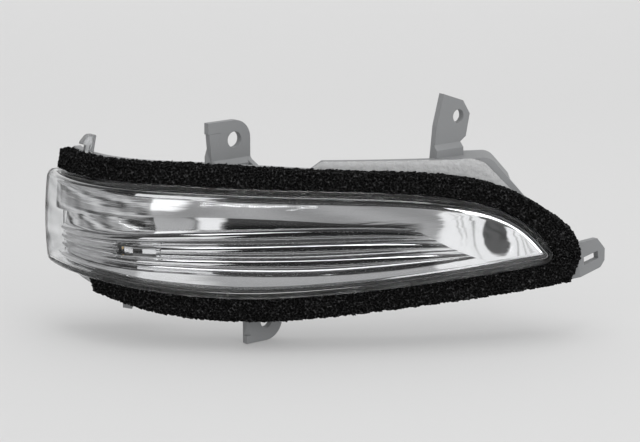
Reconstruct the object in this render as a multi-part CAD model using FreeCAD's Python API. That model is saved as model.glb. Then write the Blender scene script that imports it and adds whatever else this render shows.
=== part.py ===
import FreeCAD, Part
import math
import os

V = FreeCAD.Vector

# Turn-signal lamp for a door mirror, in millimetres. While it is drawn, the foremost point of the lens is the zero
# point, the lens faces -Y, the pointed inner end lies at +X and the end that wraps round the mirror at -X.
# Before saving, every piece is carried to the frame whose zero point is the upper outer screw hole.

# Plan of the lens crest, seen from above: a long front arc runs into a tighter arc round the outer end
front_radius = 350.0
wrap_radius = 55.0
wrap_start = 50.0
wrap_end = 70.0
crown_radius = 150.0

# Front view of the raised lens window, as along and up from the crest, closed by a round nose
window_top = [(-110.0, 20.6), (-50.0, 20.6), (-15.0, 19.6), (20.0, 18.6), (50.0, 16.5), (71.0, 12.2), (86.0, 4.3)]
window_bottom = [(-110.0, -14.5), (-78.0, -16.2), (-50.0, -19.4), (-19.0, -21.3), (12.0, -19.8), (46.0, -16.5)]
nose_x = 92.2
nose_z = -7.4
nose_radius = 3.6
nose_top_angle = 48.0
nose_bottom_angle = -84.0

# Lens: depths are measured behind the crest, square to the curved front
lens_wall = 2.2
lens_edge_radius = 2.2
flange_depth = 8.0
flange_thickness = 2.0
flange_lip = 2.5
shoulder_left = 6.0
shoulder_ramp = 4.5
shoulder_top = 28.2
shoulder_rise = 3.2
shoulder_corner = 72.5
shoulder_corner_radius = 6.0
shoulder_foot = (95.0, 2.0)

# Hooked clip on the flange
clip_x = -74.6
clip_width = 5.6
clip_top = 34.6
clip_barb = 2.4
clip_barb_height = 2.6
clip_lead = 1.0

# Foam strips on the front of the flange
foam_thickness = 5.0
foam_gap = 0.3
foam_overhang = 0.5
foam_top = [(-110.0, 27.6), (-50.0, 28.0), (-19.0, 27.2), (13.0, 25.6), (48.0, 24.0), (67.0, 21.2), (85.0, 14.0),
            (96.0, 6.6), (103.0, 0.4), (106.0, -6.0)]
foam_bottom = [(-110.0, -15.5), (-76.0, -22.2), (-50.0, -27.8), (-12.0, -30.3), (30.0, -26.8), (68.0, -22.8)]
foam_right = 106.5
foam_lower_right = 103.0
foam_lower_corner = -18.8
foam_split = -9.6
foam_split_gap = 0.5
foam_upper_end = 67.0
foam_lower_end_top = -79.0
foam_lower_end_lean = 0.42

# Reflector: a skirted tray with a sunk field of ribs and a shallow bowl
reflector_gap = 0.6
reflector_depth = 4.8
reflector_wall = 1.5
reflector_skirt = 14.0
field_depth = 3.0
field_top = [(-110.0, 4.5), (-85.0, 6.4), (-40.0, 8.8), (0.0, 8.0), (28.0, 6.3), (45.0, 3.6), (54.0, -1.2)]
field_bottom = [(-110.0, -9.6), (-84.0, -10.8), (-58.0, -11.8), (-15.0, -13.0), (12.0, -12.6), (40.0, -10.8)]
field_tip = (67.0, -7.4)
rib_count = 3
rib_land = 0.3
rib_sink = 0.7
rib_top = [(-90.0, -0.4), (-58.0, 1.5), (-15.0, 3.6), (12.0, 4.4), (40.0, 3.8), (66.0, 1.0)]
rib_bottom = [(-90.0, -10.2), (-58.0, -11.5), (-15.0, -12.7), (12.0, -12.3), (40.0, -10.5), (66.0, -8.6)]
rib_stations = [-83.0, -72.0, -52.0, -25.0, 5.0, 32.0, 50.0, 62.0]
bowl_x = 79.0
bowl_z = 2.0
bowl_radius = 150.0
bowl_depth = 1.8

# Light window in the reflector's second rib, and the board behind it
light_x = -57.0
light_z = -4.95
light_length = 17.6
light_height = 3.4
light_tilt = 1.0
light_front = 6.0
light_back_gap = 0.5
board_front = 22.5
board_thickness = 1.6
board_length = 20.0
board_height = 16.0
board_z = -5.0
led_count = 3
led_pitch = 5.0
led_width = 3.0
led_height = 2.8
led_body = 1.2
led_dome_radius = 1.1
chip_size = (5.0, 1.5, 4.0)
chip_along = -1.0
chip_up = 5.2
resistor_size = (3.2, 0.6, 1.6)
resistor_pitch = 2.4
resistor_along = 6.6
resistor_up = 0.4
diode_size = (4.3, 2.1, 2.6)
diode_along = 1.5
diode_up = -5.6
capacitor_radius = 1.6
capacitor_length = 2.4
capacitor_along = -5.5
capacitor_up = -5.6
board_screw_inset = 2.4
board_screw_head_radius = 1.9
board_screw_head = 1.3
board_screw_radius = 0.9
board_screw_length = 5.5
board_hole_radius = 1.3
boss_radius = 2.6
boss_hole_radius = 1.2

# Rear housing
rim_thickness = 2.5
tub_back = 25.0
tub_wall = 2.0
seat_ledge = 1.5
shoulder_wall = 2.2
shoulder_wall_back = 24.0
shoulder_wall_left = 51.5
shoulder_wall_right = 80.0
peg_x = -61.5
peg_width = 3.6
peg_bottom = -29.0

# Plug socket at the back, open towards +Y, with two contact pins
socket_width = 13.6
socket_height = 8.8
socket_depth = 12.0
socket_wall = 1.8
socket_mouth = 46.0
socket_corner_radius = 1.2
latch_width = 4.0
latch_height = 1.6
latch_length = 5.0
pin_width = 2.2
pin_thickness = 0.8
pin_pitch = 5.0
pin_reach = 6.0

# Screw tabs: all three face the same way, turned from the front about the upright
tab_yaw = 38.0
tab_thickness = 2.4
tab_foot_thickness = 4.2
tab_depth = 20.0
tab_root_sink = 1.2
upper_tab_x = -21.3
upper_tab_z = 35.0
upper_tab_left = 11.7
upper_tab_round = 7.2
upper_hole_radius = 3.0
upper_foot_drop = 7.0
gusset_thickness = 2.0
gusset_drop = 6.6
lower_tab_x = -10.0
lower_tab_z = -33.6
lower_tab_left = 9.0
lower_tab_round = 7.4
lower_hole_radius = 2.6
inner_tab_x = 60.8
inner_tab_z = 42.5
inner_tab_depth = 21.0
inner_tab_outline = [(-7.2, 9.0), (2.3, 5.6), (5.6, 0.4), (3.8, -7.9), (1.1, -9.6)]
inner_tab_foot = (-10.4, -2.6)
inner_tab_foot_left = 11.8
inner_hole_radius = 2.5

# Slotted tab at the inner end
slot_tab_yaw = 45.0
slot_tab_x = 111.6
slot_tab_y = 33.0
slot_tab_z = -12.7
slot_tab_thickness = 2.2
slot_tab_root = 12.0
slot_tab_tip = 8.1
slot_tab_up = 6.9
slot_tab_down = 7.4
slot_tab_chamfer = 4.6
slot_length = 8.4
slot_height = 3.0
slot_tilt = 8.0

# Reach of the helper bodies that trim the pieces
trim_near = -20.0
trim_far = 90.0
trim_low = -60.0
trim_high = 70.0
trim_right = 130.0
trim_left = -130.0
slab_high = 38.0
slab_reach = 122.0
resize_points = 14

wrap_turn = math.asin(wrap_start / front_radius)
front_centre = V(0, front_radius, 0)
wrap_centre = V(-(front_radius - wrap_radius) * math.sin(wrap_turn),
                front_radius - (front_radius - wrap_radius) * math.cos(wrap_turn), 0)
flange_back = flange_depth + flange_thickness
rim_back = flange_back + rim_thickness
cavity_back = tub_back - tub_wall
board_back = board_front + board_thickness


def radial(radius, depth, height):
    # Distance from the arc's axis of the surface that lies a given depth behind the crowned front
    return radius - crown_radius + math.sqrt((crown_radius - depth) ** 2 - height ** 2)


def on_front(along, depth, height):
    # Point at a given place along X, depth behind the front and height, with the plan angle there in radians
    angle = math.asin(-along / radial(front_radius, depth, height))
    centre, reach = front_centre, radial(front_radius, depth, height)
    if angle > wrap_turn:
        reach = radial(wrap_radius, depth, height)
        centre = wrap_centre
        angle = math.asin(min(1.0, (wrap_centre.x - along) / reach))
    return centre + V(-reach * math.sin(angle), -reach * math.cos(angle), height), angle


def end_angle(pull_back):
    # Plan angle of an end face that stands a given length short of the lens end
    return wrap_end - math.degrees(pull_back / (wrap_radius - flange_depth))


def slab(front, back, end=wrap_end):
    # Curved layer between two depths behind the front, turned about the two arc axes
    pieces = []
    for centre, radius, sweep in (
        (front_centre, front_radius, math.degrees(wrap_turn + math.asin(slab_reach / front_radius))),
        (wrap_centre, wrap_radius, math.degrees(wrap_turn) - end),
    ):
        outward = V(-math.sin(wrap_turn), -math.cos(wrap_turn), 0)

        def corner(depth, height):
            return centre + outward * radial(radius, depth, height) + V(0, 0, height)

        edges = [
            Part.Arc(corner(front, -slab_high), corner(front, 0), corner(front, slab_high)).toShape(),
            Part.LineSegment(corner(front, slab_high), corner(back, slab_high)).toShape(),
            Part.Arc(corner(back, slab_high), corner(back, 0), corner(back, -slab_high)).toShape(),
            Part.LineSegment(corner(back, -slab_high), corner(front, -slab_high)).toShape(),
        ]
        pieces.append(Part.Face(Part.Wire(edges)).revolve(centre, V(0, 0, 1), sweep))
    return pieces[0].fuse(pieces[1])


def front_point(pair):
    return V(pair[0], trim_near, pair[1])


def smooth_curve(points, start=None, end=None):
    # Smooth curve through front-view points, with the end directions given where they matter
    curve = Part.BSplineCurve()
    options = {"Points": [front_point(p) for p in points]}
    if start is not None or end is not None:
        first = start if start is not None else front_point(points[1]) - front_point(points[0])
        last = end if end is not None else front_point(points[-1]) - front_point(points[-2])
        options["InitialTangent"] = first.normalize()
        options["FinalTangent"] = last.normalize()
    curve.interpolate(**options)
    return curve


def line(a, b):
    return Part.LineSegment(a, b).toShape()


def prism(wire):
    return Part.Face(wire).extrude(V(0, trim_far - trim_near, 0))


def resized(wire, amount):
    # Outline grown or shrunk all round, its curved stretches redrawn as smooth curves
    edges = []
    for edge in wire.makeOffset2D(amount).OrderedEdges:
        if isinstance(edge.Curve, (Part.Line, Part.Circle)):
            edges.append(edge)
        else:
            curve = Part.BSplineCurve()
            curve.interpolate(edge.discretize(resize_points))
            edges.append(curve.toShape())
    return Part.Wire(edges)


def polygon(points):
    corners = [front_point(p) for p in points]
    return Part.makePolygon(corners + corners[:1])


def block(x0, x1, y0, y1, z0, z1):
    return Part.makeBox(x1 - x0, y1 - y0, z1 - z0, V(x0, y0, z0))


def nose_point(degrees):
    turn = math.radians(degrees)
    return (nose_x + nose_radius * math.cos(turn), nose_z + nose_radius * math.sin(turn))


def nose_direction(degrees):
    turn = math.radians(degrees)
    return V(math.sin(turn), 0, -math.cos(turn))


def window_curves():
    top = smooth_curve(window_top + [nose_point(nose_top_angle)], end=nose_direction(nose_top_angle))
    bottom = smooth_curve(window_bottom + [nose_point(nose_bottom_angle)],
                          end=nose_direction(nose_bottom_angle) * -1)
    return top, bottom


def window_wire():
    top, bottom = window_curves()
    middle = (nose_top_angle + nose_bottom_angle) / 2
    nose = Part.Arc(front_point(nose_point(nose_top_angle)), front_point(nose_point(middle)),
                    front_point(nose_point(nose_bottom_angle))).toShape()
    closing = line(front_point(window_bottom[0]), front_point(window_top[0]))
    return Part.Wire([top.toShape(), nose, bottom.toShape(), closing])


def height_at(curve, along):
    # Height of a front-view curve at a place along X, by halving its parameter range
    low, high = curve.FirstParameter, curve.LastParameter
    for step in range(40):
        middle = (low + high) / 2
        if curve.value(middle).x < along:
            low = middle
        else:
            high = middle
    return curve.value(low).z


def foam_wire():
    top = smooth_curve(foam_top + [(foam_right, foam_split)])
    bottom = smooth_curve(foam_bottom + [(foam_lower_right, foam_lower_corner)])
    return Part.Wire([
        top.toShape(),
        line(front_point((foam_right, foam_split)), front_point((foam_lower_right, foam_lower_corner))),
        bottom.toShape(),
        line(front_point(foam_bottom[0]), front_point(foam_top[0])),
    ])


def shoulder_prism(inset=0.0):
    # Raised straight-topped part of the flange above the foam, towards the inner end
    wire = polygon([
        (shoulder_left, shoulder_top - shoulder_rise),
        (shoulder_left + shoulder_ramp, shoulder_top),
        (shoulder_corner, shoulder_top),
        shoulder_foot,
        (shoulder_left, shoulder_foot[1]),
    ])
    body = prism(wire)
    for edge in body.Edges:
        a = edge.Vertexes[0].Point
        b = edge.Vertexes[-1].Point
        if abs(a.x - shoulder_corner) < 0.01 and abs(b.x - shoulder_corner) < 0.01 and abs(a.z - b.z) < 0.01:
            body = body.makeFillet(shoulder_corner_radius, [edge])
            break
    return body


def front_edges(body):
    # Outer edges of the front face, without the seam where the two arcs meet
    found = []
    for edge in body.Edges:
        first, last = edge.ParameterRange
        places = [edge.valueAt(first + (last - first) * part) for part in (0.2, 0.5, 0.8)]
        on_skin = True
        on_seam = True
        for place in places:
            probe = place - front_centre
            angle = math.atan2(-probe.x, -probe.y)
            centre, radius = front_centre, front_radius
            if angle > wrap_turn:
                centre, radius = wrap_centre, wrap_radius
            reach = math.hypot(place.x - centre.x, place.y - centre.y)
            on_skin = on_skin and abs(reach - radial(radius, 0, place.z)) < 0.01
            on_seam = on_seam and abs(angle - wrap_turn) < 1e-4
        if on_skin and not on_seam:
            found.append(edge)
    return found


def flange_prism():
    return prism(resized(foam_wire(), -foam_overhang)).fuse(shoulder_prism())


def make_clip():
    # Upright tongue of the flange near the outer end, with a barb that points round the mirror
    left = clip_x - clip_width / 2
    outline = polygon([
        (left, foam_split),
        (clip_x + clip_width / 2, foam_split),
        (clip_x + clip_width / 2, clip_top),
        (left, clip_top),
        (left - clip_barb, clip_top - clip_lead),
        (left - clip_barb, clip_top - clip_barb_height),
        (left, clip_top - clip_barb_height),
    ])
    return slab(flange_depth, flange_back).common(prism(outline))


def make_lens():
    wire = window_wire()
    outer = slab(0, flange_back).common(prism(wire))
    outer = outer.makeFillet(lens_edge_radius, front_edges(outer))
    hollow = slab(lens_wall, flange_back + 1, end_angle(lens_wall)).common(prism(resized(wire, -lens_wall)))
    flange = slab(flange_depth, flange_back, end_angle(-flange_lip)).common(flange_prism())
    return outer.fuse(flange).fuse(make_clip()).cut(hollow)


def make_foam():
    ring = prism(foam_wire()).cut(prism(resized(window_wire(), foam_gap)))
    front = flange_depth - foam_thickness
    upper_cut = block(trim_left, trim_right, trim_near, trim_far, foam_split + foam_split_gap / 2, trim_high)
    lower_cut = prism(polygon([
        (foam_lower_end_top, foam_split - foam_split_gap / 2),
        (trim_right, foam_split - foam_split_gap / 2),
        (trim_right, trim_low),
        (foam_lower_end_top + foam_lower_end_lean * (foam_split - trim_low), trim_low),
    ]))
    upper = slab(front, flange_depth, foam_upper_end).common(ring).common(upper_cut)
    lower = slab(front, flange_depth).common(ring).common(lower_cut)
    return upper, lower


def field_wire():
    # Leaf-shaped outline of the sunk field: a ridge above, the lower band below, a sharp tip at the inner end
    top = smooth_curve(field_top + [field_tip])
    bottom = smooth_curve(field_bottom + [field_tip])
    closing = line(front_point(field_bottom[0]), front_point(field_top[0]))
    return Part.Wire([top.toShape(), bottom.toShape(), closing])


def make_rib(index, floor):
    # Half-round rib on the floor of the field: circles that swell and shrink with the spread of the ribs
    top = smooth_curve(rib_top)
    bottom = smooth_curve(rib_bottom)
    rings = []
    for along in rib_stations:
        spread = (height_at(top, along) - height_at(bottom, along)) / rib_count
        height = height_at(top, along) - (index + 0.5) * spread
        centre, angle = on_front(along, floor, height)
        forward = V(math.cos(angle), -math.sin(angle), 0)
        rings.append(Part.Wire(Part.makeCircle((spread - rib_land) / 2, centre, forward)))
    return Part.makeLoft(rings, True)


def light_box(y0, y1, spare=0.0):
    # Straight block through the light window, tilted with the rib that it interrupts
    half = light_length / 2 + spare
    tall = light_height / 2 + spare
    body = block(light_x - half, light_x + half, y0, y1, light_z - tall, light_z + tall)
    body.rotate(V(light_x, 0, light_z), V(0, 1, 0), -light_tilt)
    return body


def make_reflector():
    inset = lens_wall + reflector_gap
    end = end_angle(inset)
    wire = resized(window_wire(), -inset)
    floor = reflector_depth + field_depth
    field = prism(field_wire())
    tray = slab(reflector_depth, reflector_skirt, end).common(prism(wire))
    hollow = slab(reflector_depth + reflector_wall, reflector_skirt + 1, wrap_end)
    hollow = hollow.common(prism(resized(window_wire(), -inset - reflector_wall)))
    rest, angle = on_front(bowl_x, reflector_depth, bowl_z)
    centre = rest + V(-math.sin(angle), -math.cos(angle), 0) * (bowl_radius - bowl_depth)
    shell = tray.cut(hollow)
    backing = Part.makeSphere(bowl_radius + reflector_wall, centre).common(hollow)
    backing = backing.common(slab(reflector_depth, reflector_skirt, end))
    wall = prism(resized(field_wire(), reflector_wall))
    sunk = slab(reflector_depth + reflector_wall / 2, floor + reflector_wall, end).common(wall).common(prism(wire))
    shell = shell.fuse(backing).cut(Part.makeSphere(bowl_radius, centre)).fuse(sunk)
    shell = shell.cut(slab(0, floor, wrap_end).common(field))
    keep = slab(reflector_depth, floor + rib_sink, end).common(prism(resized(field_wire(), reflector_wall / 2)))
    ribs = [make_rib(i, floor).common(keep).common(prism(wire)) for i in range(rib_count)]
    return shell.fuse(ribs).cut(light_box(trim_near, trim_far))


def make_light_window():
    back = board_front - led_body - led_dome_radius - light_back_gap
    return light_box(trim_near, back).common(slab(light_front, reflector_skirt + tub_back))


def board_screw_places():
    across = board_length / 2 - board_screw_inset
    up = board_height / 2 - board_screw_inset
    return [V(light_x - across, 0, board_z + up), V(light_x + across, 0, board_z - up)]


def rod(radius, place, y0, y1):
    return Part.makeCylinder(radius, y1 - y0, V(place.x, y0, place.z), V(0, 1, 0))


def pin_places():
    return [V(light_x + side * pin_pitch / 2, 0, board_z) for side in (-1, 1)]


def make_pin(place):
    tip = socket_mouth - socket_depth + pin_reach
    return block(place.x - pin_width / 2, place.x + pin_width / 2, board_front, tip,
                 place.z - pin_thickness / 2, place.z + pin_thickness / 2)


def make_board():
    board = block(light_x - board_length / 2, light_x + board_length / 2, board_front, board_back,
                  board_z - board_height / 2, board_z + board_height / 2)
    for place in board_screw_places():
        board = board.cut(rod(board_hole_radius, place, board_front, board_back))
    for place in pin_places():
        board = board.cut(make_pin(place))
    return board


def make_led(index):
    along = light_x + (index - (led_count - 1) / 2) * led_pitch
    up = light_z + (along - light_x) * math.tan(math.radians(light_tilt))
    face = board_front - led_body
    body = block(along - led_width / 2, along + led_width / 2, face, board_front, up - led_height / 2,
                 up + led_height / 2)
    dome = Part.makeSphere(led_dome_radius, V(along, face, up))
    return body.fuse(dome.cut(block(trim_left, trim_right, face + led_body / 2, trim_far, trim_low, trim_high)))


def on_board(size, along, up):
    # Small square-edged component on the back of the board
    return block(light_x + along - size[0] / 2, light_x + along + size[0] / 2, board_back, board_back + size[1],
                 board_z + up - size[2] / 2, board_z + up + size[2] / 2)


def make_resistors():
    return Part.makeCompound([on_board(resistor_size, resistor_along, resistor_up + side * resistor_pitch / 2)
                              for side in (-1, 1)])


def make_capacitor():
    place = V(light_x + capacitor_along, 0, board_z + capacitor_up)
    return rod(capacitor_radius, place, board_back, board_back + capacitor_length)


def make_board_screws():
    screws = []
    for place in board_screw_places():
        head = rod(board_screw_head_radius, place, board_front - board_screw_head, board_front)
        screws.append(head.fuse(rod(board_screw_radius, place, board_front, board_front + board_screw_length)))
    return Part.makeCompound(screws)


def tab_frame(body, x, y, z, yaw):
    # Carries a plate drawn upright in the XZ plane round its own zero point to its place on the lamp
    body = body.copy()
    body.rotate(V(0, 0, 0), V(0, 0, 1), yaw)
    body.translate(V(x, y, z))
    return body


def plate(points, thickness):
    corners = [V(x, 0, z) for x, z in points]
    return Part.Face(Part.makePolygon(corners + corners[:1])).extrude(V(0, thickness, 0))


def rounded_tab(left, round_radius, hole_radius, root, foot_drop):
    # Plate with one corner rounded about the hole, running on down to a thicker foot
    arc = Part.Arc(V(0, 0, round_radius), V(round_radius * math.sqrt(0.5), 0, round_radius * math.sqrt(0.5)),
                   V(round_radius, 0, 0)).toShape()
    outline = Part.Wire([
        line(V(-left, 0, round_radius), V(0, 0, round_radius)),
        arc,
        line(V(round_radius, 0, 0), V(round_radius, 0, -root)),
        line(V(round_radius, 0, -root), V(-left, 0, -root)),
        line(V(-left, 0, -root), V(-left, 0, round_radius)),
    ])
    body = Part.Face(outline).extrude(V(0, tab_thickness, 0))
    slope = tab_foot_thickness - tab_thickness
    side = [V(0, 0, -foot_drop), V(0, -slope, -foot_drop - slope), V(0, -slope, -root), V(0, 0, -root)]
    foot = Part.Face(Part.makePolygon(side + side[:1])).extrude(V(left + round_radius, 0, 0))
    foot.translate(V(-left, 0, 0))
    return body.fuse(foot), Part.makeCylinder(hole_radius, 3 * tab_thickness, V(0, -tab_thickness, 0), V(0, 1, 0))


def make_upper_tab():
    root = upper_tab_z - height_at(window_curves()[0], upper_tab_x) + tab_root_sink
    body, hole = rounded_tab(upper_tab_left, upper_tab_round, upper_hole_radius, root, upper_foot_drop)
    run = (root - gusset_drop) * 1.9
    side = [V(0, tab_thickness, -gusset_drop), V(0, -run, -root + tab_root_sink), V(0, -run, -root),
            V(0, tab_thickness, -root)]
    gusset = Part.Face(Part.makePolygon(side + side[:1])).extrude(V(-gusset_thickness, 0, 0))
    gusset.translate(V(upper_tab_round, 0, 0))
    return [tab_frame(s, upper_tab_x, tab_depth, upper_tab_z, tab_yaw) for s in (body.fuse(gusset), hole)]


def make_lower_tab():
    root = height_at(window_curves()[1], lower_tab_x) - lower_tab_z + tab_root_sink
    shapes = rounded_tab(lower_tab_left, lower_tab_round, lower_hole_radius, root, upper_foot_drop)
    return [tab_frame(s.mirror(V(0, 0, 0), V(0, 0, 1)), lower_tab_x, tab_depth, lower_tab_z, tab_yaw) for s in shapes]


def make_inner_tab():
    place, angle = on_front(inner_tab_x, inner_tab_depth, 0)
    root = inner_tab_z - shoulder_top + tab_root_sink
    outline = inner_tab_outline + [(inner_tab_outline[-1][0], -root), (-inner_tab_foot_left, -root), inner_tab_foot]
    body = plate(outline, tab_thickness)
    slope = tab_foot_thickness - tab_thickness
    low = inner_tab_outline[-1][1]
    side = [V(0, 0, low), V(0, -slope, low - slope), V(0, -slope, -root), V(0, 0, -root)]
    foot = Part.Face(Part.makePolygon(side + side[:1])).extrude(V(inner_tab_foot_left + inner_tab_outline[-1][0], 0, 0))
    foot.translate(V(-inner_tab_foot_left, 0, 0))
    hole = Part.makeCylinder(inner_hole_radius, 3 * tab_thickness, V(0, -tab_thickness, 0), V(0, 1, 0))
    return [tab_frame(s, inner_tab_x, place.y, inner_tab_z, tab_yaw) for s in (body.fuse(foot), hole)]


def make_slot_tab():
    body = plate([
        (-slot_tab_root, slot_tab_up),
        (slot_tab_tip - slot_tab_chamfer, slot_tab_up),
        (slot_tab_tip, slot_tab_up - slot_tab_chamfer),
        (slot_tab_tip, slot_tab_chamfer / 2 - slot_tab_chamfer),
        (slot_tab_tip - slot_tab_chamfer / 2, -slot_tab_chamfer),
        (-slot_tab_root, -slot_tab_down),
    ], slot_tab_thickness)
    slot = block(-slot_length / 2, slot_length / 2, -slot_tab_thickness, 2 * slot_tab_thickness, -slot_height / 2,
                 slot_height / 2)
    slot.rotate(V(0, 0, 0), V(0, 1, 0), -slot_tilt)
    return [tab_frame(s, slot_tab_x, slot_tab_y, slot_tab_z, slot_tab_yaw) for s in (body, slot)]


def make_housing():
    wire = window_wire()
    rim = slab(flange_back, rim_back, end_angle(-flange_lip)).common(flange_prism())
    tub = slab(flange_back, tub_back).common(prism(wire))
    wall_zone = block(shoulder_wall_left, shoulder_wall_right, trim_near, trim_far, trim_low, trim_high)
    inner = shoulder_prism().copy()
    inner.translate(V(-shoulder_wall, 0, -shoulder_wall))
    wall = slab(flange_back, shoulder_wall_back).common(shoulder_prism().cut(inner)).common(wall_zone)
    outer_width = socket_width / 2 + socket_wall
    outer_height = socket_height / 2 + socket_wall
    shroud = block(light_x - outer_width, light_x + outer_width, board_back, socket_mouth, board_z - outer_height,
                   board_z + outer_height)
    latch = block(light_x - latch_width / 2, light_x + latch_width / 2, socket_mouth - latch_length, socket_mouth,
                  board_z + outer_height, board_z + outer_height + latch_height)
    peg = slab(flange_back, rim_back).common(prism(polygon([
        (peg_x - peg_width / 2, foam_split),
        (peg_x + peg_width / 2, foam_split),
        (peg_x + peg_width / 2, peg_bottom),
        (peg_x - peg_width / 2, peg_bottom),
    ])))
    tabs = [make_upper_tab(), make_lower_tab(), make_inner_tab(), make_slot_tab()]
    front = slab(0, flange_back, end_angle(-2 * flange_lip))
    body = tub.fuse([rim, wall, shroud, latch, peg] + [tab[0].cut(front) for tab in tabs])
    seat = slab(0, reflector_skirt, end_angle(lens_wall)).common(prism(resized(wire, -lens_wall)))
    inset = lens_wall + seat_ledge
    cavity = slab(0, cavity_back, end_angle(inset)).common(prism(resized(wire, -inset)))
    body = body.cut([seat, cavity] + [tab[1] for tab in tabs])
    bosses = [rod(boss_radius, place, board_back, trim_far).common(slab(0, tub_back)) for place in board_screw_places()]
    body = body.fuse(bosses)
    holes = [rod(boss_hole_radius, place, board_back, board_front + board_screw_length + 1)
             for place in board_screw_places()]
    socket = block(light_x - socket_width / 2, light_x + socket_width / 2, socket_mouth - socket_depth, trim_far,
                   board_z - socket_height / 2, board_z + socket_height / 2)
    return body.cut(holes + [socket] + [make_pin(place) for place in pin_places()])


def export(name, shape):
    shape = shape.copy()
    shape.translate(origin * -1)
    shape.exportStep("parts/" + name + ".step")
    print(name, "solids", len(shape.Solids), "valid", shape.isValid(), "volume", round(shape.Volume, 1))


os.makedirs("parts", exist_ok=True)
origin = V(upper_tab_x, tab_depth, upper_tab_z)
upper_foam, lower_foam = make_foam()
export("outer_lens", make_lens())
export("upper_foam_seal", upper_foam)
export("lower_foam_seal", lower_foam)
export("reflector", make_reflector())
export("light_window", make_light_window())
export("circuit_board", make_board())
for number in range(led_count):
    export("amber_led_" + str(number + 1), make_led(number))
export("driver_chip", on_board(chip_size, chip_along, chip_up))
export("resistors", make_resistors())
export("protection_diode", on_board(diode_size, diode_along, diode_up))
export("capacitor", make_capacitor())
export("board_screws", make_board_screws())
export("terminal_signal", make_pin(pin_places()[0]))
export("terminal_ground", make_pin(pin_places()[1]))
export("rear_housing", make_housing())
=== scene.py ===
import math

import bpy
import numpy as np
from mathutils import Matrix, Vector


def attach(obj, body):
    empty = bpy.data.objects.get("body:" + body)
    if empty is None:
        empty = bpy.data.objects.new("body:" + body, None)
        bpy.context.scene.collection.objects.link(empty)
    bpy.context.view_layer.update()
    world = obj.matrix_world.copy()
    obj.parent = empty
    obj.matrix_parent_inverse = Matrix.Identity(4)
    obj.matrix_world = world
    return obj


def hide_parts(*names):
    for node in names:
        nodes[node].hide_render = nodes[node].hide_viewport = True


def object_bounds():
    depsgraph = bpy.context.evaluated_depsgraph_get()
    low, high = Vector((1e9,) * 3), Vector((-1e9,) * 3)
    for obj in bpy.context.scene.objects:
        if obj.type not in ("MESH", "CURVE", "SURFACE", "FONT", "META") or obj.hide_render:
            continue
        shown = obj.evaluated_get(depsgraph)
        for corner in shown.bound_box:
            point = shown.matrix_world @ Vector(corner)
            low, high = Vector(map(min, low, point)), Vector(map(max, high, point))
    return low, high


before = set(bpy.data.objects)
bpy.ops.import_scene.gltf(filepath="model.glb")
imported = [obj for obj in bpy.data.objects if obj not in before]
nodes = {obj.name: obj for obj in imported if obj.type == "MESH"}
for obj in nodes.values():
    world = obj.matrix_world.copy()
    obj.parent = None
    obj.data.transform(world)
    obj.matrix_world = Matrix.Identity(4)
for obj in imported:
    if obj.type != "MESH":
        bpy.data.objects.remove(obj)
cadLow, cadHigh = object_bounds()
print("stage: frame loaded")

# Plan of the lamp in millimetres: a long front arc, a short arc round the outer end, and a crown in height.
# The drawing origin is the foremost point of the lens, and toFrame moves it to the upper screw hole.
plan = {
    "frontRadius": 350.0, "wrapRadius": 55.0, "crown": 150.0, "wrapStart": 50.0, "wrapEnd": math.radians(70),
    "squareFrom": 0.09, "squareOver": 0.44,  # turn at which depth starts to run square, and the turn it takes
}
toFrame = np.array([21.3, -20.0, -35.0])
wrapTurn = math.asin(plan["wrapStart"] / plan["frontRadius"])
wrapX = (plan["wrapRadius"] - plan["frontRadius"]) * math.sin(wrapTurn)
wrapY = plan["frontRadius"] + (plan["wrapRadius"] - plan["frontRadius"]) * math.cos(wrapTurn)
turnAt = -plan["frontRadius"] * wrapTurn
leftEnd = turnAt - plan["wrapRadius"] * (plan["wrapEnd"] - wrapTurn)


def radial(radius, depth, z):
    # Reach from the arc's axis of the layer that lies depth behind the crowned front
    return radius - plan["crown"] + np.sqrt((plan["crown"] - depth) ** 2 - z ** 2)


def walk(s, z, depth):
    # Point at length s along the front, height z and depth behind it: the layers are two arcs seen from
    # above, and depth runs straight back on the front arc and square to the surface on the short arc
    angle = np.where(s >= turnAt, -s / plan["frontRadius"], wrapTurn + (turnAt - s) / plan["wrapRadius"])
    front = angle <= wrapTurn
    radius = np.where(front, plan["frontRadius"], plan["wrapRadius"])
    cx = np.where(front, 0.0, wrapX)
    near = cx - radial(radius, 0.0, z) * np.sin(angle)
    square = cx - radial(radius, depth, z) * np.sin(angle)
    t = np.clip((angle - plan["squareFrom"]) / plan["squareOver"], 0, 1)
    x = near + t * t * (3 - 2 * t) * (square - near)
    r1 = radial(plan["frontRadius"], depth, z)
    r2 = radial(plan["wrapRadius"], depth, z)
    y1 = plan["frontRadius"] - np.sqrt(r1 ** 2 - x ** 2)
    y2 = wrapY - r2 * np.sqrt(1 - np.clip((wrapX - x) / r2, -1, 1) ** 2)
    y = np.where(-x / r1 <= math.sin(wrapTurn), y1, y2)
    return (np.stack([x, y, np.broadcast_to(z, x.shape)], -1) + toFrame) / 1000


def alongFront(x):
    # Length along the front for a place x seen from the front: radius times turn, on either arc
    turn = np.arcsin(np.clip((wrapX - x) / plan["wrapRadius"], -1, 1)) - wrapTurn
    onWrap = turnAt - plan["wrapRadius"] * turn
    onFront = -plan["frontRadius"] * np.arcsin(-x / plan["frontRadius"])
    return np.where(x >= -plan["wrapStart"], onFront, onWrap)


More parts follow.
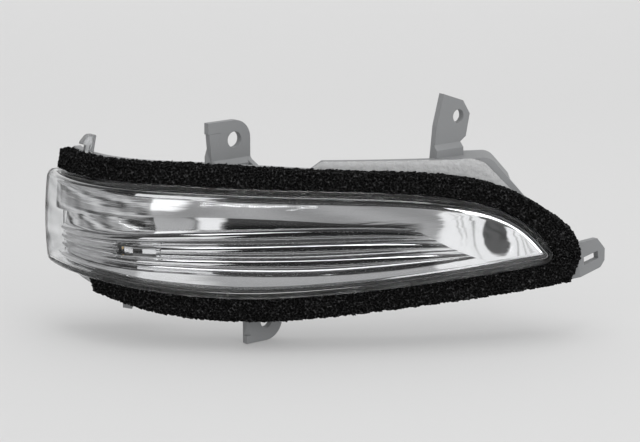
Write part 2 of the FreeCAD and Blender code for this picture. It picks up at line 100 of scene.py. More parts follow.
def curve(points, count=500):
    # Natural cubic through the points, by chord length, as count points
    p = np.array(points, float)
    t = np.concatenate([[0], np.cumsum(np.linalg.norm(np.diff(p, axis=0), axis=1))])
    h = np.diff(t)
    a = np.eye(len(p))
    b = np.zeros_like(p)
    i = np.arange(1, len(p) - 1)
    a[i, i - 1], a[i, i], a[i, i + 1] = h[:-1], 2 * (h[:-1] + h[1:]), h[1:]
    b[1:-1] = 6 * (np.diff(p[1:], axis=0) / h[1:, None] - np.diff(p[:-1], axis=0) / h[:-1, None])
    m = np.linalg.solve(a, b)
    u = np.linspace(0, t[-1], count)
    k = np.clip(np.searchsorted(t, u, side="right") - 1, 0, len(h) - 1)
    l, r, g = (t[k + 1] - u)[:, None], (u - t[k])[:, None], h[k][:, None]
    bent = (m[k] * l ** 3 + m[k + 1] * r ** 3) / (6 * g)
    return bent + (p[k] / g - m[k] * g / 6) * l + (p[k + 1] / g - m[k + 1] * g / 6) * r


def trimmed(points, end):
    # The line from length end onwards
    z = np.interp(end, points[:, 0], points[:, 1])
    return np.concatenate([[[end, z]], points[points[:, 0] > end + 0.01]])


def unrolled(points, end=None):
    # Front-view points as length along the front and height, cut off at an end
    out = np.stack([alongFront(points[:, 0]), points[:, 1]], -1)
    return out if end is None else trimmed(out, end)


def spread(points, count):
    # The same line with count points at equal steps
    t = np.concatenate([[0], np.cumsum(np.linalg.norm(np.diff(points, axis=0), axis=1))])
    u = np.linspace(0, t[-1], count)
    return np.stack([np.interp(u, t, points[:, 0]), np.interp(u, t, points[:, 1])], -1)


# A loop runs along the bottom edge, round the inner end, back along the top edge and down the outer end
steps = {"edge": 280, "nose": 26, "end": 60, "corner": 20}
endRadius = 3.6


def loop(bottom, nose, top):
    # The four lines in equal steps, with a quarter circle at each outer corner
    a = np.radians(np.linspace(90, 180, steps["corner"]))
    turned = np.stack([np.cos(a), np.sin(a) - 1], -1) * endRadius
    end = np.concatenate([top[-1] + turned, (bottom[0] + turned * np.array([1, -1]))[::-1]])
    parts = [spread(bottom, steps["edge"])[:-1], spread(nose, steps["nose"])[:-1]]
    parts += [spread(top, steps["edge"])[:-1], spread(end, steps["end"])[:-1]]
    return np.concatenate(parts)


def inset(line, amount):
    # The loop moved inwards, square to itself
    d = np.roll(line, -1, 0) - np.roll(line, 1, 0)
    d /= np.linalg.norm(d, axis=1)[:, None]
    return line + amount * np.stack([-d[:, 1], d[:, 0]], -1)


def setValues(mesh, name, values):
    # One number for each vertex, kept as an attribute that a material can read
    mesh.attributes.new(name, "FLOAT", "POINT").data.foreach_set("value", values.astype(np.float32))


def surface(name, grid, closeRows=False, closeColumns=False, marks=None):
    # Mesh of a grid of points, rows by columns, with doubled points merged and faces turned outwards
    rows, columns = grid.shape[:2]
    ids = np.arange(rows * columns).reshape(rows, columns)
    ids = np.concatenate([ids, ids[:1]]) if closeRows else ids
    ids = np.concatenate([ids, ids[:, :1]], 1) if closeColumns else ids
    quads = np.stack([ids[:-1, :-1], ids[:-1, 1:], ids[1:, 1:], ids[1:, :-1]], -1).reshape(-1, 4)
    flat = np.round(grid.reshape(-1, 3), 8)
    points, first, back = np.unique(flat, axis=0, return_index=True, return_inverse=True)
    quads = back.reshape(-1)[quads]
    p0, p1, p2, p3 = (points[quads[:, k]] - points.mean(0) for k in range(4))
    if (np.cross(p2 - p0, p3 - p1) * (p0 + p1 + p2 + p3)).sum() < 0:  # volume below nought: inside out
        quads = quads[:, ::-1]
    keep = quads != np.roll(quads, -1, 1)
    sides = keep.sum(1)
    whole = quads[sides == 4]
    thin = quads[sides == 3][keep[sides == 3]].reshape(-1, 3)
    mesh = bpy.data.meshes.new(name)
    mesh.from_pydata(points, [], whole.tolist() + thin.tolist())
    mesh.validate()
    mesh.polygons.foreach_set("use_smooth", np.ones(len(mesh.polygons), bool))
    if marks is not None:
        setValues(mesh, "mark", marks.reshape(-1)[first])
    made = bpy.data.objects.new(name, mesh)
    bpy.context.scene.collection.objects.link(made)
    return made


def material(name, colour, rough=0.4, metal=0.0, **sockets):
    made = bpy.data.materials.new(name)
    made.use_nodes = True
    shader = made.node_tree.nodes["Principled BSDF"]
    shader.inputs["Base Color"].default_value = (*colour, 1)
    shader.inputs["Roughness"].default_value = rough
    shader.inputs["Metallic"].default_value = metal
    for socket, value in sockets.items():
        shader.inputs[socket.replace("_", " ")].default_value = value
    return made


def addNode(mat, kind, **sockets):
    made = mat.node_tree.nodes.new(kind)
    for socket, value in sockets.items():
        made.inputs[socket.replace("_", " ")].default_value = value
    return made


def toShader(mat, output, socket):
    mat.node_tree.links.new(output, mat.node_tree.nodes["Principled BSDF"].inputs[socket])


def grain(mat, scale, strength, distance, kind="ShaderNodeTexNoise", output=0, bevel=0.0):
    # Relief in object coordinates, over edges that are rounded in shading where bevel is given
    links = mat.node_tree.links
    place = addNode(mat, "ShaderNodeTexCoord")
    texture = addNode(mat, kind, Scale=scale)
    bump = addNode(mat, "ShaderNodeBump", Strength=strength, Distance=distance)
    links.new(place.outputs["Object"], texture.inputs["Vector"])
    links.new(texture.outputs[output], bump.inputs["Height"])
    if bevel:
        edge = addNode(mat, "ShaderNodeBevel", Radius=bevel)
        edge.samples = 6
        links.new(edge.outputs["Normal"], bump.inputs["Normal"])
    toShader(mat, bump.outputs["Normal"], "Normal")
    return texture


def put(made, mat, slotName, *replaced):
    made.data.materials.clear()
    made.data.materials.append(mat)
    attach(made, "root")
    if replaced:
        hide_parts(*replaced)


# Outline of the raised window, the same as the CAD lens, with a round nose at the inner end
nose = {"x": 92.2, "z": -7.4, "radius": 3.6, "top": 48, "bottom": -84, "points": 60}
windowTop = [(-110, 20.6), (-50, 20.6), (-15, 19.6), (20, 18.6), (50, 16.5), (71, 12.2), (86, 4.3)]
windowBottom = [(-110, -14.5), (-78, -16.2), (-50, -19.4), (-19, -21.3), (12, -19.8), (46, -16.5)]
noseTurn = np.radians(np.linspace(nose["bottom"], nose["top"], nose["points"]))
noseArc = np.stack([
    nose["x"] + nose["radius"] * np.cos(noseTurn), nose["z"] + nose["radius"] * np.sin(noseTurn)], -1)
topLine = unrolled(curve(windowTop + [tuple(noseArc[-1])]), leftEnd + endRadius)
bottomLine = unrolled(curve(windowBottom + [tuple(noseArc[0])]), leftEnd + endRadius)
window = loop(bottomLine, unrolled(noseArc), topLine[::-1])

# Outline of the two foam strips, and of the flange half a millimetre inside it with the raised shoulder
foamTop = [(-110, 27.6), (-50, 28), (-19, 27.2), (13, 25.6), (48, 24), (67, 21.2), (85, 14), (96, 6.6),
           (103, 0.4), (106, -6)]
foamBottom = [(-110, -15.5), (-76, -22.2), (-50, -27.8), (-12, -30.3), (30, -26.8), (68, -22.8), (103, -18.8)]
foamEnd = [(103, -18.8), (106.5, -9.6), (106.3, -7.8), (106, -6)]
shoulderTop = [(2.0, 20), (6, 25), (10.5, 28.2), (66.5, 28.2), (70.5, 26.9), (72.5, 25.0), (92, 4)]
flangeIn, flangeUp, farBelow = 0.5, 0.2, -99
foamTopLine = unrolled(curve(foamTop), leftEnd + endRadius)
foamBottomLine = unrolled(curve(foamBottom), leftEnd + endRadius)
foamNose = unrolled(np.array(foamEnd))
foamLoop = loop(foamBottomLine, foamNose, foamTopLine[::-1])
shoulder = unrolled(np.array(shoulderTop))
flangeTopLine = foamTopLine - np.array([0, flangeIn])
raised = np.interp(flangeTopLine[:, 0], shoulder[:, 0], shoulder[:, 1], left=farBelow, right=farBelow)
flangeTopLine = np.stack([flangeTopLine[:, 0], np.maximum(flangeTopLine[:, 1], raised)], -1)
flangeNose = foamNose + np.array([-flangeIn, flangeUp])
flange = loop(foamBottomLine + np.array([0, flangeIn]), flangeNose, flangeTopLine[::-1])

# Lens: depths behind the front in millimetres; the face closes on a line between the two ends given by mid
lensShape = {
    "wall": 2.2, "edge": 2.2, "innerEdge": 1.0, "wallFrom": 2.4, "wallTo": 7.5, "foot": 7.85,
    "flangeFront": 8.0, "rimFrom": 8.25, "rimTo": 9.75, "back": 10.0, "innerFrom": 9.7, "innerTo": 3.2,
    "midOuter": 18.0, "midInner": 80.0,
}
flangeRings = (4, 5, 6)  # places in makeLens's stack that are frosted


def midline(line):
    # For each point of the loop, the point half-way between the edges that it closes on
    s = np.clip(line[:, 0], leftEnd + lensShape["midOuter"], alongFront(lensShape["midInner"]))
    top = np.interp(s, topLine[:, 0], topLine[:, 1])
    bottom = np.interp(s, bottomLine[:, 0], bottomLine[:, 1])
    return np.stack([s, (top + bottom) / 2], -1)


def rings(a, b, da, db, count):
    # Loops between loop a at depth da and loop b at depth db
    f = np.linspace(0, 1, count)[:, None, None]
    return a + (b - a) * f, np.broadcast_to(da + (db - da) * f[..., 0], (len(f), len(a)))


def corner(line, radius, depth, first, last, count):
    # Loops round an edge: inset and depth follow an arc about a centre one radius inside the line
    turns = np.radians(np.linspace(first, last, count))
    out = [inset(line, radius + radius * math.cos(a)) for a in turns]
    depths = [np.full(len(line), depth + radius * math.sin(a)) for a in turns]
    return np.array(out), np.array(depths)


def makeLens():
    # Closed shell: the crowned face with a rounded edge, the side wall, the flange, and back inside
    d = lensShape
    mid = midline(window)
    inner = inset(window, d["wall"])
    stack = [
        rings(mid, inset(window, d["edge"]), 0, 0, 26),
        corner(window, d["edge"], d["edge"], -90, -180, 12),
        rings(window, window, d["wallFrom"], d["wallTo"], 4),
        rings(inset(window, -0.15), inset(window, -0.5), d["foot"], d["flangeFront"], 2),
        rings(inset(window, -0.8), flange, d["flangeFront"], d["flangeFront"], 6),
        rings(flange, flange, d["rimFrom"], d["rimTo"], 3),
        rings(flange + 0.1 * (window - flange), inner, d["back"], d["back"], 6),
        rings(inner, inner, d["innerFrom"], d["innerTo"], 5),
        corner(inner, d["innerEdge"], d["innerTo"], 180, 270, 6),
        rings(inset(inner, 1.1), mid, d["wall"], d["wall"], 22),
    ]
    line = np.concatenate([a for a, b in stack])
    depth = np.concatenate([b for a, b in stack])
    marks = np.concatenate([np.full(a.shape[:2], float(k in flangeRings)) for k, (a, b) in enumerate(stack)])
    return surface("lensShell", walk(line[..., 0], line[..., 1], depth), closeColumns=True, marks=marks)


# Clip on the flange: its side as depth and height, its width in steps, and how far the side shrinks at each
clipShape = {
    "at": -91.5, "across": [-2.8, -2.7, -2.5, 2.5, 2.7, 2.8], "shrink": [0.0, 0.85, 1, 1, 0.85, 0.0],
    "side": [(8, 26.5), (8, 31.2), (5.6, 31.4), (5.7, 32.2), (7.2, 34.2), (8, 34.6), (9.6, 34.6), (10, 34.2),
             (10, 26.5)],
}


def makeClip():
    # Hooked tongue on top of the flange: a flat bar with a barb that leans forwards, as outline by width
    side = np.array(clipShape["side"])
    shrink = np.array(clipShape["shrink"])[:, None, None]
    shape = side.mean(0) + (side - side.mean(0)) * shrink
    s = clipShape["at"] + np.array(clipShape["across"])[:, None] + np.zeros(len(side))
    return surface("lensClip", walk(s, shape[..., 1], shape[..., 0])[:, ::-1], closeColumns=True)


# Clear plastic, frosted and finely rippled on the flange, where the mark is one
clear = material("clearLens", (0.97, 0.975, 0.98), 0.015, Transmission_Weight=1.0, IOR=1.49)
frost = addNode(clear, "ShaderNodeAttribute")
frost.attribute_name = "mark"
for socket, plain, frosted in (("Transmission Weight", 1.0, 0.62), ("Roughness", 0.015, 0.12)):
    blend = addNode(clear, "ShaderNodeMapRange", To_Min=plain, To_Max=frosted)
    clear.node_tree.links.new(frost.outputs["Fac"], blend.inputs["Value"])
    toShader(clear, blend.outputs["Result"], socket)
ripple = grain(clear, 480.0, 0.0, 0.0009).outputs[0].links[0].to_node
clear.node_tree.links.new(frost.outputs["Fac"], ripple.inputs["Strength"])
put(makeLens(), clear, "clear_plastic", "outer_lens")
clipPlastic = material("clipPlastic", (0.72, 0.73, 0.74), 0.2, Transmission_Weight=0.8, IOR=1.49)
put(makeClip(), clipPlastic, "clear_plastic", "outer_lens")
print("stage: lens made")

# Reflector: across each station the rows climb the lower band, drop into the sunk field, pass over three
# round-backed ribs and the wedge above them, which leans back, and climb out to the upper band
mirror = {
    "gap": 2.8, "depth": 4.8, "floor": 7.8, "back": 14.0, "rim": 0.2,
    "ribs": 3, "land": 0.3, "ribHeight": 1.35, "wedgeTilt": 0.13,
    "fieldEnd": 67.0, "fieldMargin": 0.4, "endMargin": 0.3,
    "bowlX": 81.5, "bowlZ": 1.5, "bowlDepth": 1.8, "bowlLong": 9.0, "bowlTall": 10.0,
    "topRoll": 2.6, "topDrop": 1.3, "lowRoll": 1.6, "lowDrop": 0.9, "rollShare": 0.95,
    "slotX": -58.6, "slotZ": -4.95, "slotLength": 18.0, "slotHeight": 3.5, "slotFloor": 0.5,
    "coarseTo": 45.0, "fineFrom": 45.3, "tipGap": 0.02, "coarse": 420, "fine": 200,  # stations along the lamp
    "lowRows": 18, "ribRows": 27, "wedgeRows": 8, "highRows": 34,
}
fieldTop = [(-110, 4.5), (-85, 6.4), (-40, 8.8), (0, 8), (28, 6.3), (45, 3.6), (54, -1.2), (67, -7.4)]
fieldBottom = [(-110, -9.6), (-84, -10.8), (-58, -11.8), (-15, -13), (12, -12.6), (40, -10.8), (67, -7.4)]
ribTop = [(-110, -1.0), (-90, -0.4), (-58, 1.5), (-15, 3.6), (12, 4.4), (40, 3.8), (66, 1.0)]
ribBottom = [(-110, -9.4), (-90, -10.2), (-58, -11.5), (-15, -12.7), (12, -12.3), (40, -10.5), (66, -8.6)]


def heights(points, s):
    # Height of the curve through the points at each length s
    line = unrolled(curve(points))
    return np.interp(s, line[:, 0], line[:, 1])


def makeReflector():
    m = mirror
    inner = inset(window, m["gap"])
    edge = steps["edge"] - 1
    turn = edge + steps["nose"] // 2
    low, high = inner[:turn], inner[turn: 2 * edge + steps["nose"] - 1][::-1]
    s = np.concatenate([
        np.linspace(leftEnd + m["gap"], alongFront(m["coarseTo"]), m["coarse"]),
        np.linspace(alongFront(m["fineFrom"]), inner[turn, 0] - m["tipGap"], m["fine"])])
    bottom = np.interp(s, low[:, 0], low[:, 1])
    top = np.interp(s, high[:, 0], high[:, 1])
    slot = np.abs(s - alongFront(m["slotX"])) < m["slotLength"] / 2
    ft, fb = heights(fieldTop, s), heights(fieldBottom, s)
    rt, rb = heights(ribTop, s), heights(ribBottom, s)
    size = (rt - rb) / m["ribs"]
    radius = (size - m["land"]) / 2
    centres = [rb + size * (k + 0.5) for k in range(m["ribs"])]
    ended = s > alongFront(m["fieldEnd"])
    middle = np.clip(fb, bottom + m["endMargin"], top - m["endMargin"])
    ft = np.where(ended, middle, np.minimum(ft, top - m["fieldMargin"]))
    fb = np.where(ended, middle, np.maximum(fb, bottom + m["fieldMargin"]))
    rows, depths = [], []

    def roll(share):
        return 1 - np.sqrt(1 - m["rollShare"] * share ** 2)

    def dent(z):
        # Depth of the smooth bands: a bell-shaped bowl, and elliptic rolls at the upper and lower edges
        ds = s - alongFront(m["bowlX"])
        away = ((z - m["bowlZ"]) / m["bowlTall"]) ** 2 + (ds / m["bowlLong"]) ** 2
        upper = np.clip((z - top) / m["topRoll"] + 1, 0, 1)
        lower = np.clip((bottom - z) / m["lowRoll"] + 1, 0, 1)
        rolled = m["topDrop"] * roll(upper) + m["lowDrop"] * roll(lower)
        return m["depth"] + m["bowlDepth"] * np.exp(-0.5 * away) + rolled

    def relief(z):
        # Depth in the sunk field: the floor, less a parabola over each rib, and the light window's slot
        out = m["floor"] + m["wedgeTilt"] * np.maximum(0, z - rt)
        for c in centres:
            out = out - m["ribHeight"] * np.maximum(0, 1 - ((z - c) / radius) ** 2)
        inSlot = slot & (np.abs(z - m["slotZ"]) < m["slotHeight"] / 2)
        return np.where(inSlot, m["back"] - m["slotFloor"], out)

    def row(z, depth):
        rows.append(z)
        depths.append(depth)

    def inField(z):
        z = np.clip(z, fb, ft)
        row(z, np.where(ended, dent(z), relief(z)))

    row(bottom, np.full_like(s, m["back"]))
    row(bottom, dent(bottom) + m["rim"])
    for f in 1 - np.cos(np.radians(np.linspace(5, 90, m["lowRows"]))):
        z = bottom + (fb - bottom) * f
        row(z, dent(z))
    inField(fb)
    for c in centres:
        for a in np.radians(np.linspace(-90, 90, m["ribRows"])):
            inField(c + radius * math.sin(a))
    for f in np.linspace(0.02, 1, m["wedgeRows"]):
        inField(rt + (ft - rt) * f)
    for f in np.sin(np.radians(np.linspace(0, 88, m["highRows"]))):
        z = ft + (top - ft) * f
        row(z, dent(z))
    row(top, dent(top) + m["rim"])
    row(top, np.full_like(s, m["back"]))
    z, d = np.array(rows), np.array(depths)
    points = walk(np.broadcast_to(s, z.shape), z, d)
    first = z[:, :1]
    capped = walk(np.broadcast_to(s[:1], first.shape), first, np.full_like(first, m["back"]))
    return surface("reflectorInsert", np.concatenate([capped, points], 1), closeRows=True)


# Bright metal with faint streaks that run along the lamp
chrome = material("mirrorMetal", (0.9, 0.9, 0.905), 0.03, 1.0)
streaks = grain(chrome, 1.0, 0.06, 0.0006)
streaks.inputs["Detail"].default_value = 3.0
stretch = addNode(chrome, "ShaderNodeMapping", Scale=(28.0, 28.0, 330.0), Rotation=(0, math.radians(9), 0))
chrome.node_tree.links.new(streaks.inputs["Vector"].links[0].from_socket, stretch.inputs["Vector"])
chrome.node_tree.links.new(stretch.outputs["Vector"], streaks.inputs["Vector"])
reflector = makeReflector()
split = reflector.modifiers.new("sharpEdges", "EDGE_SPLIT")
split.split_angle = math.radians(38)
put(reflector, chrome, "bright_metal", "reflector")
print("stage: reflector made")

# Foam strips: a band between the window loop and the foam loop, its skin broken by pores
foam = {
    "gap": 0.3, "front": 3.0, "back": 8.0, "density": 1.6, "leastWidth": 1.5, "fill": 0.9,
    "grit": 0.6, "lumps": 0.6, "edgeRough": 0.4, "faceRough": 0.25, "pits": 0.42,
    "faceRows": 22, "outerRows": 10, "backRows": 8, "innerRows": 8,
    "split": 0.62, "upperFrom": 0.3, "upperTo": 1, "lowerFrom": 34, "lowerTo": 0.6,  # ends of the strips
}


def makeFoam(name, first, last, seed):
    # Across the strip f runs from the window's loop to the foam's and d from front to back, both shaken
    luck = np.random.default_rng(seed)
    near, far = inset(window, -foam["gap"]), foamLoop
    at = np.linspace(first, last, int(abs(last - first) * foam["density"]))
    index = np.arange(len(window))
    a = np.stack([np.interp(at, index, near[:, k]) for k in range(2)], -1)
    b = np.stack([np.interp(at, index, far[:, k]) for k in range(2)], -1)
    counts = [foam[key] for key in ("faceRows", "outerRows", "backRows", "innerRows")]
    f = np.concatenate([
        np.linspace(0, 1, counts[0]), np.ones(counts[1]), np.linspace(1, 0, counts[2]), np.zeros(counts[3])])
    d = np.concatenate([
        np.zeros(counts[0]), np.linspace(0.1, 0.9, counts[1]),
        np.ones(counts[2]), np.linspace(0.9, 0.1, counts[3])])
    shape = (len(at), len(f))
    fine = luck.normal(0, 1, shape)
    coarse = np.kron(luck.normal(0, 1, (shape[0] // 3 + 1, shape[1] // 2 + 1)), np.ones((3, 2)))
    rough = foam["grit"] * fine + foam["lumps"] * coarse[: shape[0], : shape[1]]
    outer, inner = f > 0.97, f < 0.03
    front = (d < 0.05) | outer
    width = np.linalg.norm(b - a, axis=1)[:, None]
    shake = np.where(outer, foam["edgeRough"] * rough, np.where(inner, 0.0, foam["faceRough"] * rough))
    ff = f[None] + shake / np.maximum(width, foam["leastWidth"])
    pits = np.where(front, foam["pits"] * np.abs(rough), 0)
    dd = np.minimum(foam["front"] + d[None] * (foam["back"] - foam["front"]) + pits, foam["back"])
    line = a[:, None] + (b - a)[:, None] * ff[..., None]
    capA = np.broadcast_to(line[:1].mean(1, keepdims=True), (1, len(f), 2))
    capB = np.broadcast_to(line[-1:].mean(1, keepdims=True), (1, len(f), 2))
    line = np.concatenate([capA, line, capB])
    middle = np.full((1, len(f)), (foam["front"] + foam["back"]) / 2)
    depth = np.concatenate([middle, dd, middle])
    return surface(name, walk(line[..., 0], line[..., 1], depth), closeColumns=True)


# Black foam: the ramp paints shade into the middles of the cells, the pores, and pale glints onto the cell
# walls
foamMat = material("openFoam", (0.012, 0.012, 0.013), 0.95, Specular_IOR_Level=0.2)
cells = grain(foamMat, 1350.0, 1.0, 0.003, "ShaderNodeTexVoronoi")
foamShadeAndGlints = addNode(foamMat, "ShaderNodeValToRGB")
stops = foamShadeAndGlints.color_ramp.elements
stops[0].position, stops[0].color = 0.35, (0.003, 0.003, 0.003, 1)
stops[1].position, stops[1].color = 0.95, (0.13, 0.13, 0.133, 1)
stops.new(0.72).color = (0.027, 0.027, 0.0275, 1)
foamMat.node_tree.links.new(cells.outputs["Distance"], foamShadeAndGlints.inputs["Fac"])
toShader(foamMat, foamShadeAndGlints.outputs["Color"], "Base Color")
edgeCount = steps["edge"] - 1
noseSplit = edgeCount + steps["nose"] * foam["split"]
upperEnd = 2 * edgeCount + steps["nose"] - foam["upperTo"]
upperFoam = makeFoam("upperFoamStrip", noseSplit + foam["upperFrom"], upperEnd, 3)
put(upperFoam, foamMat, "foam", "upper_foam_seal")
lowerFoam = makeFoam("lowerFoamStrip", foam["lowerFrom"], noseSplit - foam["lowerTo"], 4)
put(lowerFoam, foamMat, "foam", "lower_foam_seal")
print("stage: foam made")

# Web of the upper screw tab, in the tab's own plane and a hair inside its faces
web = {
    "corners": [(-11.6, 7.1), (-3.7, 7.1), (-3.7, -8.6), (-10.2, -8.6)],
    "front": -0.02, "back": -2.38, "yaw": math.radians(38),
}


def makeWeb():
    # Flat four-sided plate: the corners at the back and the front, each closed to a middle point, then turned
    corners = np.array(web["corners"])
    middle = corners.mean(0)
    size = np.array([0.0, 1.0, 1.0, 0.0])[:, None, None]
    flat = middle + (corners - middle) * size
    deep = np.array([web["back"], web["back"], web["front"], web["front"]])[:, None] + 0 * flat[..., 0]
    x = flat[..., 0] * math.cos(web["yaw"]) + deep * math.sin(web["yaw"])
    y = flat[..., 0] * math.sin(web["yaw"]) - deep * math.cos(web["yaw"])
    made = surface("upperTabWeb", np.stack([x, y, flat[..., 1]], -1) / 1000, closeColumns=True)
    made.data.polygons.foreach_set("use_smooth", np.zeros(len(made.data.polygons), bool))
    return made


# Finishes of the CAD nodes
plastic = material("greyPlastic", (0.235, 0.24, 0.245), 0.5)
grain(plastic, 2600.0, 0.25, 0.0001, bevel=0.0004)
put(makeWeb(), plastic, "housing_plastic")
brass = material("contactBrass", (0.7, 0.55, 0.3), 0.3, 1.0)
# Amber LED resin with a faint painted glow that stands in for the bright dot on the LEDs
amber = material(
    "amberResinPaintedGlow", (0.9, 0.5, 0.1), 0.15, Emission_Color=(1.0, 0.75, 0.35, 1), Emission_Strength=0.25)
finishes = {
    "rear_housing": plastic,
    "light_window": material("clearBlock", (0.97, 0.97, 0.97), 0.03, Transmission_Weight=1.0, IOR=1.49),
    "circuit_board": material("boardResin", (0.02, 0.12, 0.05), 0.4),
    "driver_chip": material("chipResin", (0.02, 0.02, 0.022), 0.45),
    "resistors": material("resistorBody", (0.03, 0.03, 0.035), 0.5),
    "protection_diode": material("diodeResin", (0.025, 0.025, 0.027), 0.4),
    "capacitor": material("capacitorCan", (0.45, 0.35, 0.2), 0.4),
    "board_screws": material("zincSteel", (0.6, 0.6, 0.62), 0.3, 1.0),
    "terminal_signal": brass,
    "terminal_ground": brass,
}
for name, made in nodes.items():
    finish = amber if name.startswith("amber_led") else finishes.get(name)
    if finish:
        made.data.materials.clear()
        made.data.materials.append(finish)
print("stage: CAD finishes")

# Pale sweep under and behind the lamp, in metres: a flat floor that bends up into a wall, its colour paler
# towards the back and up the wall as painted light, with a faint even glow as painted fill light that lifts
# the lamp's shadow on it
sweep = {
    "under": 0.0004, "near": -3.0, "flatFrom": -0.6, "flatTo": 0.9, "bend": 0.8, "top": 3.5, "half": 4.0,
    "toneAt": [-0.5, 0.0, 0.5, 1.3, 1.7], "tone": [0.41, 0.44, 0.48, 0.61, 0.71], "glow": 0.21,
}
bend = np.radians(np.linspace(0, 90, 24))
flat = np.linspace(sweep["flatFrom"], sweep["flatTo"], 40)
wallY = sweep["flatTo"] + sweep["bend"] * np.sin(bend)
sweepY = np.concatenate([[sweep["near"]], flat[:-1], wallY, wallY[-1:]])
sweepZ = np.concatenate([0 * flat, sweep["bend"] - sweep["bend"] * np.cos(bend), [sweep["top"]]])
sweepZ = sweepZ + cadLow.z - sweep["under"]
across = np.linspace(-sweep["half"], sweep["half"], 9)
sweepGrid = np.stack(np.broadcast_arrays(across[:, None], sweepY[None], sweepZ[None]), -1)
tone = np.interp(sweepY, sweep["toneAt"], sweep["tone"])
floor = surface("paleSweep", sweepGrid, marks=np.broadcast_to(tone, sweepGrid.shape[:2]))
# Painted light on the sweep: the colour from the mark is paler at the back, and the emission is a painted
# fill that lightens the shadow
paper = material(
    "palePaper", (0.5, 0.5, 0.5), 0.95, Specular_IOR_Level=0.0, Emission_Color=(1, 1, 1, 1),
    Emission_Strength=sweep["glow"])
shade = addNode(paper, "ShaderNodeAttribute")
shade.attribute_name = "mark"
toShader(paper, shade.outputs["Fac"], "Base Color")
floor.data.materials.append(paper)
floor.visible_glossy = floor.visible_transmission = False

# What the chrome sees: a dome, bright and dark by bearing and elevation, shown to reflections alone
tent = {"radius": 1.6, "low": 0.03, "base": 0.35, "least": 0.01}


def onDome(bearing, rise, radius):
    # Points on a sphere round the lamp, by bearing from the front and elevation
    return np.stack(np.broadcast_arrays(
        radius * np.sin(bearing) * np.cos(rise), -radius * np.cos(bearing) * np.cos(rise),
        radius * np.sin(rise) - tent["low"]), -1)


def places(made):
    out = np.empty(len(made.data.vertices) * 3)
    made.data.vertices.foreach_get("co", out)
    return out.reshape(-1, 3)


def band(v, low, high, soft):
    # One between low and high, nought outside, with soft edges
    return np.clip((v - low) / soft + 0.5, 0, 1) * np.clip((high - v) / soft + 0.5, 0, 1)


def patch(az0, az1, el0, el1, soft):
    # Rounded rectangle in bearing and elevation, one inside and nought outside
    wide, tall = (az1 - az0) / 2, (el1 - el0) / 2
    reach = (np.abs((warpAz - az0) / wide - 1) ** 3 + np.abs((warpEl - el0) / tall - 1) ** 3) ** (1 / 3)
    return np.clip((1 - reach) * min(wide, tall) / soft + 0.5, 0, 1)


tentGlow = bpy.data.materials.new("tentGlow")
tentGlow.use_nodes = True
tentGlow.node_tree.nodes.clear()
lit = addNode(tentGlow, "ShaderNodeEmission")
glowField = addNode(tentGlow, "ShaderNodeAttribute")
glowField.attribute_name = "glow"
tentOut = addNode(tentGlow, "ShaderNodeOutputMaterial")
tentGlow.node_tree.links.new(glowField.outputs["Fac"], lit.inputs["Strength"])
tentGlow.node_tree.links.new(lit.outputs["Emission"], tentOut.inputs["Surface"])


def showToReflections(made, glow):
    setValues(made.data, "glow", glow)
    made.data.materials.append(tentGlow)
    made.visible_camera = made.visible_diffuse = made.visible_shadow = False


bearing = np.radians(np.linspace(-178, 178, 700))[:, None]
rise = np.radians(np.linspace(-80, 88, 620))[None]
dome = surface("reflectedTent", onDome(bearing, rise, tent["radius"])[:, ::-1])
spot = places(dome)
az = np.degrees(np.arctan2(spot[:, 0], -spot[:, 1]))
el = np.degrees(np.arcsin(np.clip((spot[:, 2] + tent["low"]) / tent["radius"], -1, 1)))
# The edges wander, as folds in the cloth of a tent do, and lean over towards the inner end
warpAz = az + 1.3 * np.sin(el * 0.42 + az * 0.11) + 0.5 * np.sin(el * 1.1 - az * 0.23)
warpAz = warpAz + 0.35 * (el + 9) * band(az, 25, 55, 4) * band(el, -20, 0, 4)
warpEl = el + 0.5 * np.sin(az * 0.13 + 0.7) + 0.012 * az
# Brightness, bearing from and to, elevation from and to, softness of the edges in degrees; later ones win
patches = [
    (0.018, -80, 95, 1.5, 68, 2.5),  # dark above, for the wedge and the ribs' upper sides
    (0.12, -180, 180, 69, 92, 4),
    (0.08, -180, 180, -90, -33, 3),  # dark below, for the ribs' lower sides
    (0.42, -180, 180, -32, -22, 2),  # lower band
    (0.05, -21, 22, -21, -12.8, 1.5),
    (0.8, -42, -14, -32, -22, 2),
    (0.02, -9.8, 18, -12.8, -7.2, 0.6),
    (0.42, -26, -15, 2.6, 9, 1),  # pale outer end of the wedge
    (1.0, -14.5, -10.2, 2.6, 9, 0.7),
    (0.015, -20, -15.5, 12, 46, 2),
    (1.2, -25, -16.5, -5, 0.3, 1),  # white spot on the upper band
    (0.95, 22.5, 46, -28, -0.5, 1),  # white of the bowl, its streaks and its dark middle
    (0.45, 27.2, 27.9, -13, -5, 0.4),
    (0.45, 29.4, 30.2, -13, -5, 0.4),
    (0.4, 33.6, 34.8, -14, -5, 0.6),
    (0.02, 39.8, 48, -24, -1, 0.7),
    (0.9, 24, 60, -62, -33, 3),
    (3.0, 15, 75, 60, 66, 1),  # line along the upper rim
    (0.68, -184, -138, -50, 40, 4),  # backdrop behind the clear flange
    (0.68, 138, 184, -50, 40, 4),
]
glow = tent["base"] + 0.05 * np.sin(warpAz * 0.35 + warpEl * 0.5)
for value, az0, az1, el0, el1, soft in patches:
    glow = glow + (value - glow) * patch(az0, az1, el0, el1, soft)
folds = 0.2 * np.sin(el * 1.5 + az * 0.035) + 0.14 * np.sin(el * 3.3 - az * 0.05 + 1)
folds = folds * band(az, -150, -27, 8) * band(el, -21, 9, 6)
showToReflections(dome, np.maximum(tent["least"], glow + folds))

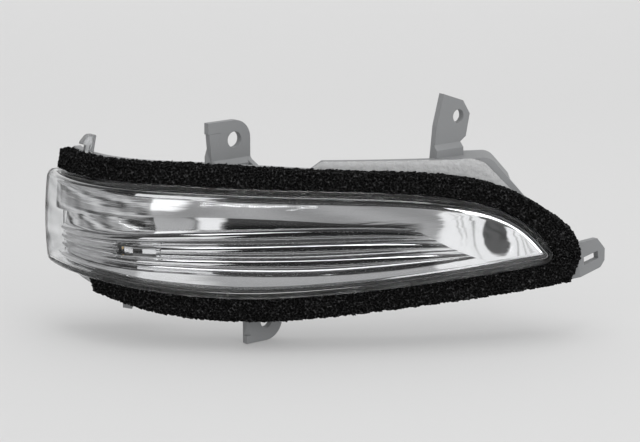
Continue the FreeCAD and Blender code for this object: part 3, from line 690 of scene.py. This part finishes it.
# Rows of small lamps inside the tent, each row a thin strip: elevation, thickness, bearing from and to
lampRows = [(-1.7, 0.35, -14, 4), (14.0, 0.3, -75, 85), (-41.5, 0.5, -75, 85), (2.5, 0.4, -60, 60)]
lamp = {"inside": 0.99, "points": 2400, "pitch": 900, "dim": 0.3, "bright": 3.2}
for count, (rowEl, thick, az0, az1) in enumerate(lampRows):
    turn = np.radians(np.linspace(az0, az1, lamp["points"]))[:, None]
    lift = np.radians(rowEl + thick * np.array([-0.5, 0.5]))[None]
    strip = surface("lampRow%d" % count, onDome(turn, lift, lamp["inside"] * tent["radius"]))
    spot = places(strip)
    ray = np.arctan2(spot[:, 0], -spot[:, 1])
    showToReflections(strip, lamp["dim"] + lamp["bright"] * (0.5 + 0.5 * np.cos(ray * lamp["pitch"])) ** 2)

world = bpy.data.worlds.new("room")
world.use_nodes = True
world.node_tree.nodes["Background"].inputs["Color"].default_value = (1, 1, 1, 1)
world.node_tree.nodes["Background"].inputs["Strength"].default_value = 0.86
bpy.context.scene.world = world


def areaLight(name, place, aim, size, watts):
    # Square lamp at a place, turned to face its aim
    data = bpy.data.lights.new(name, "AREA")
    data.shape, data.size, data.energy = "SQUARE", size, watts
    made = bpy.data.objects.new(name, data)
    made.location = place
    along = np.array(aim) - np.array(place)
    tilt = math.acos(-along[2] / np.linalg.norm(along))
    made.rotation_euler = (tilt, 0, math.atan2(along[1], along[0]) - math.pi / 2)
    made.visible_glossy = False
    bpy.context.scene.collection.objects.link(made)


areaLight("topSoft", (0.05, -0.15, 0.9), (0.03, 0.0, -0.03), 0.7, 3.0)
areaLight("frontSoft", (-0.5, -1.0, 0.5), (0.03, 0.0, -0.03), 0.6, 1.0)
areaLight("rightSoft", (0.75, -0.7, 0.25), (0.05, 0.0, -0.04), 0.5, 2.4)
print("stage: sweep and lights")

# Camera in front, thirteen degrees up
view = {"lens": 140.6, "sensor": 36.0, "place": (0.0313, -0.8969, 0.1765), "tilt": math.radians(77)}
camData = bpy.data.cameras.new("camera")
camData.lens, camData.sensor_width = view["lens"], view["sensor"]
camera = bpy.data.objects.new("camera", camData)
camera.location = view["place"]
camera.rotation_euler = (view["tilt"], 0, 0)
bpy.context.scene.collection.objects.link(camera)
bpy.context.scene.camera = camera
bpy.context.scene.view_settings.view_transform = "Standard"
